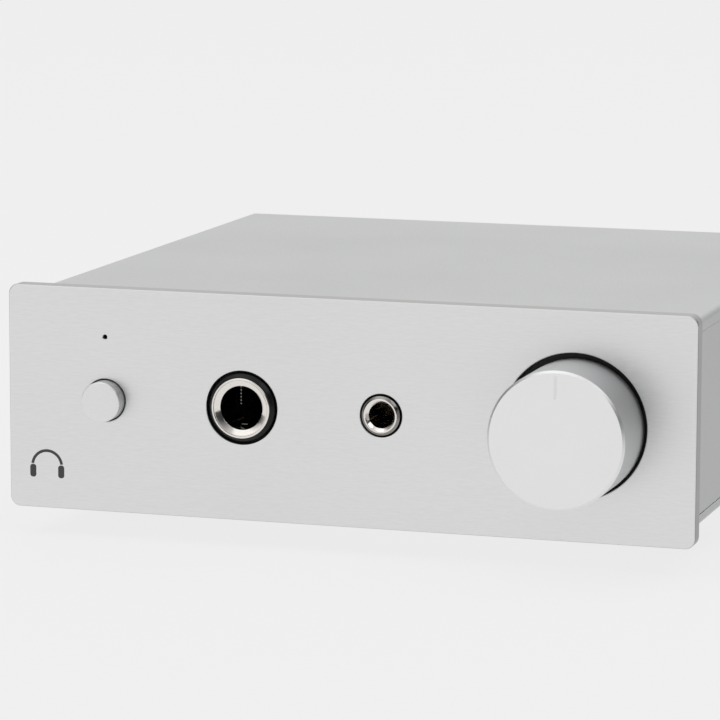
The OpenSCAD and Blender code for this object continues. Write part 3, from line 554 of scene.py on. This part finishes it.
def build_front_panel():
    """The brushed face plate with its four control holes and the lamp's pinhole."""
    corner_r = 1.5 * MM
    soft_edge = 0.16 * MM
    knob_hole_r = 10.45 * MM
    phone_hole_r = 5.35 * MM
    mini_hole_r = 3.1 * MM
    button_hole_r = 3.1 * MM
    pinhole_r = 0.3 * MM
    pinhole_rise = 9.3 * MM
    holes = (
        (Vector((KNOB.x, AXIS_Z)), knob_hole_r),
        (PHONE, phone_hole_r),
        (MINI, mini_hole_r),
        (BUTTON, button_hole_r),
        (BUTTON + Vector((0, pinhole_rise)), pinhole_r),
    )
    bm = bmesh.new()
    outside = round_box(panel_low.xz, panel_high.xz, corner_r)
    outlines = [outside] + [circle(centre, radius) for centre, radius in holes]
    plate(bm, outlines, PANEL_FRONT, PANEL_BACK, soft_edge)
    bmesh.ops.recalc_face_normals(bm, faces=bm.faces)
    for face in bm.faces:
        # The plate's side faces take the darker edge finish, which is partly painted shade
        if abs(face.normal.y) < FLAT_LEAN:
            face.material_index = 1
    make_piece(
        "front_panel_plate", bm, "front_aluminium", stands_for=["front_panel"],
        extra_finishes=["cut_edge_with_painted_shade"],
    )


def build_pictogram():
    """A plain printed headphone outline, in the corner where such cases carry a mark."""
    centre = Vector((-45.7, 10.2)) * MM
    ink = 0.015 * MM
    band_r = 2.3 * MM
    band_w = 0.42 * MM
    band_start = 8
    band_turn = 164
    band_steps = 32
    cup = Vector((0.95, 1.9)) * MM
    cup_corner_r = 0.4 * MM
    cup_inset = 0.1 * MM
    cup_drop = 0.75 * MM
    bm = bmesh.new()
    arc = [radians(band_start + band_turn * k / band_steps) for k in range(band_steps + 1)]
    outer = [centre + Vector((cos(t), sin(t))) * (band_r + band_w / 2) for t in arc]
    inner = [centre + Vector((cos(t), sin(t))) * (band_r - band_w / 2) for t in reversed(arc)]
    shapes = [outer + inner]
    for side in (-1, 1):
        middle = centre + Vector((side * (band_r - cup_inset), -cup_drop))
        shapes.append(round_box(middle - cup / 2, middle + cup / 2, cup_corner_r, steps=5))
    for shape in shapes:
        front_loop, back_loop = wall(bm, shape, [(0, PANEL_FRONT - ink), (0, PANEL_FRONT + ink)])
        fill(bm, front_loop)
        fill(bm, back_loop)
    make_piece("headphone_pictogram", bm, "print_ink")


# ---- Volume knob and power button ----


def mark_turned_faces(bm, edge_end):
    """Gives the front edge of a knob or button its second finish, and its side the third one."""
    bmesh.ops.recalc_face_normals(bm, faces=bm.faces)
    for face in bm.faces:
        if face.calc_center_median().y < edge_end and SIDE_LEAN < -face.normal.y < FLAT_LEAN:
            face.material_index = 1
        elif abs(face.normal.y) < SIDE_LEAN:
            face.material_index = 2


def build_knob():
    """A turned knob with a polished chamfer, a pointer groove and the recess for the nut."""
    low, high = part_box("volume_knob")
    radius = (high.x - low.x) / 2
    chamfer = 0.34 * MM
    recess_r = 7.6 * MM
    recess_end = high.y - 3.4 * MM
    bore_r = 3 * MM
    bore_end = low.y + 1.7 * MM
    groove_half_w = 0.3 * MM
    groove_l = 3.5 * MM
    groove_end_r = 0.29 * MM
    groove_slope = 0.12 * MM
    groove_floor = low.y + 0.03 * MM
    groove_to_rim = 0.6 * MM
    bm = bmesh.new()
    profile = round_corners(
        [
            (radius - chamfer, low.y, 0),
            (radius, low.y + chamfer, 0.05 * MM),
            (radius, high.y, 0.2 * MM),
            (recess_r, high.y, 0.1 * MM),
            (recess_r, recess_end, 0),
            (bore_r, recess_end, 0),
            (bore_r, bore_end, 0),
            (0, bore_end, 0),
        ]
    )
    face_loop, _ = turned(bm, KNOB, profile, closed=False, count=192)
    top = KNOB + Vector((0, radius - groove_to_rim))
    groove_low = top - Vector((groove_half_w, groove_l))
    groove_high = top + Vector((groove_half_w, 0))
    groove = round_box(groove_low, groove_high, groove_end_r, steps=6)
    groove_loop = pocket(bm, groove[::-1], [(0, low.y), (-groove_slope, groove_floor)])
    fill(bm, face_loop, groove_loop)
    mark_turned_faces(bm, low.y + chamfer)
    for face in bm.faces:
        if abs(face.calc_center_median().y - groove_floor) < 0.01 * MM:
            face.material_index = 3
    make_piece(
        "volume_knob_turned", bm, "knob_aluminium", "volume", ["volume_knob"], sharp=25,
        extra_finishes=["polished_edge", "turned_side", "engraved_line"],
    )


def build_button():
    """The push button with its soft edge, its flange behind the panel and the pocket for the stem."""
    low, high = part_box("power_button")
    stem_low, stem_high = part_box("switch_stem")
    radius = 2.95 * MM
    soft_edge = 0.16 * MM
    flange_front = high.y - 1.3 * MM
    flange_r = (high.x - low.x) / 2
    flange_lip = 0.5 * MM
    bm = bmesh.new()
    profile = round_corners(
        [
            (0, low.y, 0),
            (radius, low.y, soft_edge),
            (radius, flange_front, 0.1 * MM),
            (flange_r, flange_front, 0.1 * MM),
            (flange_r, high.y, 0.1 * MM),
            (flange_r - flange_lip, high.y, 0),
        ],
        steps=5,
    )
    _, back_loop = turned(bm, BUTTON, profile, closed=False)
    stem = round_box(stem_low.xz, stem_high.xz, 0.05 * MM, steps=2)
    stem_loop = pocket(bm, stem[::-1], [(0, high.y), (0, stem_low.y)])
    fill(bm, back_loop, stem_loop)
    mark_turned_faces(bm, low.y + soft_edge)
    make_piece(
        "power_button_turned", bm, "button_aluminium", "power", ["power_button"],
        extra_finishes=["polished_edge", "turned_side"],
    )


def build_spring():
    """The button's return spring. In the real switch it shortens towards the switch as the button goes in.
    """
    low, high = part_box("switch_spring")
    wire_r = 0.21 * MM
    coil_r = (high.x - low.x) / 2 - wire_r
    turns = 4
    steps = 32
    wire_sides = 12
    first_y = low.y + wire_r
    last_y = high.y - wire_r
    bm = bmesh.new()
    rings = []
    for i in range(turns * steps + 1):
        turn = 2 * pi * i / steps
        outward = Vector((cos(turn), 0, sin(turn)))
        middle = Vector((BUTTON.x, first_y + (last_y - first_y) * i / (turns * steps), BUTTON.y))
        middle += outward * coil_r
        ring = []
        for k in range(wire_sides):
            side = 2 * pi * k / wire_sides
            point = middle + (outward * cos(side) + Vector((0, sin(side), 0))) * wire_r
            ring.append(bm.verts.new(point))
        rings.append(ring)
    for first, second in zip(rings, rings[1:]):
        bridge(bm, first, second)
    fill(bm, rings[0])
    fill(bm, rings[-1])
    piece = make_piece("switch_return_spring", bm, "spring_steel", stands_for=["switch_spring"])
    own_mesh(piece)


# ---- Headphone sockets ----


def build_phone_ferrule():
    """The dished nickel ring of the full-size socket, with a fine turned line inside its rim."""
    low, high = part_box("phone_jack_ferrule")
    bore_r = 3.2 * MM
    dish_end = PANEL_FRONT - 0.1 * MM
    rim_r = (high.x - low.x) / 2
    dish_r = rim_r - 0.42 * MM
    line_r = rim_r - 0.36 * MM
    lip_r = rim_r - 0.28 * MM
    sleeve_r = 3.75 * MM
    step_y = PANEL_FRONT + 0.6 * MM
    bm = bmesh.new()
    profile = round_corners(
        [
            (bore_r, high.y, 0),
            (bore_r, dish_end, 0.08 * MM),
            (dish_r, low.y + 0.1 * MM, 0.03 * MM),
            (line_r, low.y + 0.16 * MM, 0.02 * MM),
            (lip_r, low.y, 0.05 * MM),
            (rim_r, low.y, 0.14 * MM),
            (rim_r, step_y, 0),
            (sleeve_r, step_y, 0),
            (sleeve_r, high.y, 0),
        ]
    )
    turned(bm, PHONE, profile)
    make_piece("phone_jack_ring", bm, "nickel", stands_for=["phone_jack_ferrule"], sharp=50)


def build_bore_contacts():
    """What shows inside the full-size socket: a dark leaf with a row of bright dots, and a spring's lip."""
    face_y = PANEL_FRONT + 2.6 * MM
    back_y = face_y + 0.12 * MM
    corner_r = 0.03 * MM
    leaf = PHONE + Vector((-0.95, 0)) * MM
    leaf_low = leaf + Vector((-0.07, 0.05)) * MM
    leaf_high = leaf + Vector((0.07, 3.04)) * MM
    lip = PHONE + Vector((-0.45, -2.82)) * MM
    lip_half = Vector((0.45, 0.04)) * MM
    dots = 6
    first_dot = 0.17 * MM
    dot_pitch = 0.5 * MM
    dot_r = 0.12 * MM
    bm = bmesh.new()
    for low, high in ((leaf_low, leaf_high), (lip - lip_half, lip + lip_half)):
        outline = round_box(low, high, corner_r, steps=3)
        front_loop, back_loop = wall(bm, outline, [(0, face_y), (0, back_y)])
        fill(bm, front_loop)
        fill(bm, back_loop)
    for face in bm.faces:
        if face.calc_center_median().z > PHONE.y:
            face.material_index = 1
    profile = round_corners(
        [
            (0, back_y, 0),
            (dot_r, back_y, 0),
            (dot_r, face_y - 0.07 * MM, 0.05 * MM),
            (0, face_y - 0.1 * MM, 0),
        ]
    )
    # The dots, like the lip, are in the darker nickel: painted shade inside the bore
    for k in range(dots):
        centre = leaf + Vector((0, first_dot + dot_pitch * k))
        turned(bm, centre, profile, closed=False, count=24)
    make_piece("phone_jack_bore_contacts", bm, "nickel_in_painted_shade", extra_finishes=["black_plastic"])


def cut_slit(bm, centre, angle, half_turn, inner, outer, depth):
    """Sinks the front faces of a turned ring between two radii, on one narrow sector."""
    middle = Vector((cos(angle), sin(angle)))
    forward_lean = 0.3
    sunk = []
    for face in bm.faces:
        place = face.calc_center_median().xz - centre
        in_sector = abs(middle.angle_signed(place)) < half_turn
        if inner < place.length < outer and in_sector and -face.normal.y > forward_lean:
            sunk.append(face)
    floor = {}
    for face in sunk:
        for vertex in face.verts:
            if vertex not in floor:
                floor[vertex] = bm.verts.new(vertex.co + Vector((0, depth, 0)))
    walls = []
    for face in sunk:
        for loop in face.loops:
            if any(other not in sunk for other in loop.edge.link_faces):
                walls.append((loop.vert, loop.link_loop_next.vert))
    for face in sunk:
        bm.faces.new([floor[vertex] for vertex in face.verts])
    for first, second in walls:
        bm.faces.new((first, second, floor[second], floor[first]))
    bmesh.ops.delete(bm, geom=sunk, context="FACES")


def build_mini_ferrule():
    """The small domed ring: a bright rim between a falling flank and a dish, slit at its lower left."""
    low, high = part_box("mini_jack_ferrule")
    bore_r = 1.8 * MM
    outer_r = (high.x - low.x) / 2
    dish_r = 2.25 * MM
    rim_r = 2.43 * MM
    flank_r = 2.47 * MM
    slit_angle = radians(205)
    slit_depth = 0.8 * MM
    steps = 160
    slit_half_turn = 2.9 * pi / steps
    bm = bmesh.new()
    profile = round_corners(
        [
            (bore_r, high.y, 0),
            (bore_r, PANEL_FRONT, 0.08 * MM),
            (dish_r, low.y + 0.02 * MM, 0.12 * MM),
            (rim_r, low.y, 0.12 * MM),
            (outer_r - 0.06 * MM, PANEL_FRONT - 0.1 * MM, 0.1 * MM),
            (outer_r, PANEL_FRONT + 0.1 * MM, 0.08 * MM),
            (outer_r, high.y, 0),
        ]
    )
    turned(bm, MINI, profile, count=steps)
    bmesh.ops.recalc_face_normals(bm, faces=bm.faces)
    # The flank outside the rim takes the darker nickel, painted shade
    for face in bm.faces:
        if (face.calc_center_median().xz - MINI).length > flank_r:
            face.material_index = 1
    cut_slit(bm, MINI, slit_angle, slit_half_turn, bore_r, dish_r, slit_depth)
    make_piece(
        "mini_jack_ring", bm, "nickel", stands_for=["mini_jack_ferrule"], sharp=50,
        extra_finishes=["nickel_in_painted_shade"],
    )


# ---- Rear sockets, feet and screws ----


def build_shells():
    """The four round socket shells, each a nickel tube with a wider root and a soft mouth."""
    root_step = 0.3 * MM
    tube_wall = 0.6 * MM
    for node in ("input_left_shell", "input_right_shell", "output_left_shell", "output_right_shell"):
        low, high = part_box(node)
        root_r = (high.x - low.x) / 2
        outer_r = root_r - root_step
        inner_r = outer_r - tube_wall
        bm = bmesh.new()
        profile = round_corners(
            [
                (inner_r, low.y, 0),
                (root_r, low.y, 0),
                (root_r, REAR_OUT, 0.08 * MM),
                (outer_r, REAR_OUT, 0),
                (outer_r, high.y, 0.28 * MM),
                (inner_r, high.y, 0.12 * MM),
            ]
        )
        turned(bm, axis_of(node), profile)
        make_piece(node + "_turned", bm, "nickel", stands_for=[node], sharp=50)


def build_insulators():
    """The plastic rings inside the shells: white for the left channel and red for the right one."""
    contact_r = 1.9 * MM
    dish_r = contact_r + 0.9 * MM
    floor_r = contact_r + 0.7 * MM
    shell_inset = 0.9 * MM
    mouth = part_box("socket_insulators")[1].y
    floor_y = mouth - 0.5 * MM
    channels = (("left", "white_plastic"), ("right", "red_plastic"))
    for pair in ("input", "output"):
        for side, finish in channels:
            node = f"{pair}_{side}_shell"
            low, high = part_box(node)
            outer_r = (high.x - low.x) / 2 - shell_inset
            bm = bmesh.new()
            profile = round_corners(
                [
                    (contact_r, low.y, 0),
                    (outer_r, low.y, 0),
                    (outer_r, mouth, 0.15 * MM),
                    (dish_r, mouth, 0.1 * MM),
                    (floor_r, floor_y, 0.1 * MM),
                    (contact_r, floor_y, 0.1 * MM),
                ]
            )
            turned(bm, axis_of(node), profile)
            make_piece(f"{pair}_{side}_insulator", bm, finish, stands_for=["socket_insulators"], sharp=50)


def add_screw(bm, centre, shank_end, head_front, head_r, shank_r, socket_w):
    """A button-head screw through the rear panel, with a hexagon socket in its head."""
    head_l = head_front - REAR_OUT
    head_rounding = 0.45 * head_l
    socket_floor = head_front - 0.6 * head_l
    face_r = 0.75 * socket_w
    profile = round_corners(
        [
            (0, shank_end, 0),
            (shank_r, shank_end, 0.2 * MM),
            (shank_r, REAR_OUT, 0),
            (head_r, REAR_OUT, 0.1 * MM),
            (head_r, head_front, head_rounding),
            (face_r, head_front, 0),
        ]
    )
    _, face_loop = turned(bm, centre, profile, closed=False, count=64)
    socket_loop = pocket(bm, hexagon(centre, socket_w), [(0, head_front), (0, socket_floor)])
    fill(bm, face_loop, socket_loop)


def build_rear_screws():
    """The four corner screws of the rear panel and the two that hold the socket blocks."""
    low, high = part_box("rear_panel_screws")
    head_r = 1.9 * MM
    shank_r = 1.5 * MM
    socket_w = 1.8 * MM
    bm = bmesh.new()
    for x in (low.x + head_r, high.x - head_r):
        for z in (low.z + head_r, high.z - head_r):
            add_screw(bm, Vector((x, z)), low.y, high.y, head_r, shank_r, socket_w)
    make_piece("rear_screws_turned", bm, "black_screws", stands_for=["rear_panel_screws"])

    low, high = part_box("socket_block_screws")
    head_r = 1.75 * MM
    shank_r = 1.25 * MM
    socket_w = 1.6 * MM
    z = (low.z + high.z) / 2
    bm = bmesh.new()
    for x in (low.x + head_r, high.x - head_r):
        add_screw(bm, Vector((x, z)), low.y, high.y, head_r, shank_r, socket_w)
    make_piece("block_screws_turned", bm, "black_screws", stands_for=["socket_block_screws"])


def build_feet():
    """Four rubber feet: a soft lower edge, a shallow groove round the side and a screw well."""
    low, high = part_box("rubber_feet")
    radius = 5 * MM
    sole_r = radius - 0.4 * MM
    side_r = radius - 0.12 * MM
    groove_r = radius - 0.35 * MM
    groove_z = 3.85 * MM
    groove_half_w = 0.25 * MM
    well_r = 3.2 * MM
    seat = 3 * MM
    screw_r = 1.5 * MM
    bm = bmesh.new()
    profile = round_corners(
        [
            (well_r, low.z, 0.25 * MM),
            (sole_r, low.z, 0.6 * MM),
            (side_r, groove_z - groove_half_w, 0.1 * MM),
            (groove_r, groove_z, 0.1 * MM),
            (side_r, groove_z + groove_half_w, 0.1 * MM),
            (radius, high.z, 0.1 * MM),
            (screw_r, high.z, 0),
            (screw_r, seat, 0),
            (well_r, seat, 0.2 * MM),
        ]
    )
    for x in (low.x + radius, high.x - radius):
        for y in (low.y + radius, high.y - radius):
            foot = bmesh.new()
            turned(foot, Vector((0, 0)), profile, count=96)
            foot.transform(Matrix.Translation((x, y, 0)) @ Matrix.Rotation(radians(90), 4, "X"))
            mesh = bpy.data.meshes.new("foot")
            foot.to_mesh(mesh)
            foot.free()
            bm.from_mesh(mesh)
            bpy.data.meshes.remove(mesh)
    make_piece("rubber_feet_moulded", bm, "foot_rubber", stands_for=["rubber_feet"])


def build_pieces():
    build_front_panel()
    build_pictogram()
    build_knob()
    build_button()
    build_spring()
    build_phone_ferrule()
    build_bore_contacts()
    build_mini_ferrule()
    build_shells()
    build_insulators()
    build_rear_screws()
    build_feet()


def finish_cad_nodes():
    """Gives each carried-over CAD node its material, and the larger ones softer edges."""
    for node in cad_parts.values():
        for holder in node.material_slots:
            holder.material = FINISHES[holder.material.name.removeprefix("cad_")]
    soft_edges = {
        "top_cover": 0.12,
        "bottom_plate": 0.12,
        "left_side_wall": 0.05,
        "right_side_wall": 0.05,
        "rear_panel": 0.15,
        "input_socket_block": 0.15,
        "output_socket_block": 0.15,
        "dc_inlet_body": 0.2,
        "phone_jack_body": 0.15,
        "mini_jack_body": 0.15,
        "heatsink": 0.15,
        "output_relay": 0.4,
        "film_capacitors": 0.4,
    }
    for node, width in soft_edges.items():
        soften(node, width * MM)


# ---- Studio ----


def make_stage():
    """A pale floor that reaches past the view on every side, and glows so that shadows stay faint."""
    reach = 30.0
    glow = 0.773
    bm = bmesh.new()
    bmesh.ops.create_grid(bm, x_segments=8, y_segments=8, size=reach)
    mesh = bpy.data.meshes.new("floor")
    bm.to_mesh(mesh)
    bm.free()
    floor = bpy.data.objects.new("floor", mesh)
    material = make_finish(
        "pale_floor", (0.12, 0.12, 0.12), roughness=0.9, roughness_spread=0.02, grain=400,
        relief=0, tint=0.002, fleck=0.002, blotch=2, Specular_IOR_Level=0.0,
    )
    shader = material.node_tree.nodes["Principled BSDF"]
    shader.inputs["Emission Color"].default_value = (1, 1, 1, 1)
    shader.inputs["Emission Strength"].default_value = glow
    mesh.materials.append(material)
    scene.collection.objects.link(floor)


def make_world():
    """A soft studio that is bright in front, above and behind, and darker on both sides."""
    bright = (0.95, 0.95, 0.95)
    strength = 0.9
    # Each dark side: its direction, the cosines between which the light falls off, and its colour
    dark_sides = (
        (Vector((1, -0.35, 0)), 0.1, 0.75, (0.05, 0.052, 0.056)),
        (Vector((-1, 0.1, 0.35)), 0.75, 0.95, (0.07, 0.071, 0.073)),
    )
    world = bpy.data.worlds.new("soft_studio")
    scene.world = world
    world.use_nodes = True
    tree = world.node_tree
    background = tree.nodes["Background"]
    place = tree.nodes.new("ShaderNodeTexCoord")
    colour = bright
    for side, start, end, darkest in dark_sides:
        toward = dot_product(tree, place.outputs["Generated"], side.normalized())
        dim = remap(tree, toward, 0, 1, start=start, end=end)
        colour = mix(tree, dim, colour, darkest)
    link(tree, colour, background.inputs["Color"])
    background.inputs["Strength"].default_value = strength


def add_softbox(name, place, aim, size, power):
    """A square area light that points at a place."""
    lamp = bpy.data.lights.new(name, "AREA")
    lamp.size = size
    lamp.energy = power
    holder = bpy.data.objects.new(name, lamp)
    holder.location = place
    holder.rotation_euler = (Vector(aim) - Vector(place)).to_track_quat("-Z", "Y").to_euler()
    scene.collection.objects.link(holder)


def make_lights():
    middle = (0, 0, 0.02)
    add_softbox("key", (-0.5, -0.55, 0.7), middle, size=1.1, power=1.1)
    add_softbox("top", (0.0, 0.1, 1.6), middle, size=2.1, power=3.9)
    add_softbox("rim", (0.9, -0.48, 1.0), middle, size=0.65, power=1.9)


def make_camera():
    """The photograph's view: a long lens from the front right and a little above."""
    place = (0.16951, -0.58081, 0.11647)
    yaw_degrees = 17.495
    down_degrees = 9.002
    roll_degrees = 0.184
    lens = bpy.data.cameras.new("camera")
    lens.lens = 197.73
    lens.sensor_width = 36
    lens.clip_start = 0.01
    lens.clip_end = 100
    holder = bpy.data.objects.new("camera", lens)
    yaw = Matrix.Rotation(radians(yaw_degrees), 4, "Z")
    tilt = Matrix.Rotation(radians(90 - down_degrees), 4, "X")
    roll = Matrix.Rotation(radians(roll_degrees), 4, "Z")
    holder.matrix_world = Matrix.Translation(place) @ yaw @ tilt @ roll
    scene.collection.objects.link(holder)
    scene.camera = holder


build_pieces()
finish_cad_nodes()
make_stage()
make_world()
make_lights()
make_camera()
scene.view_settings.view_transform = "Standard"
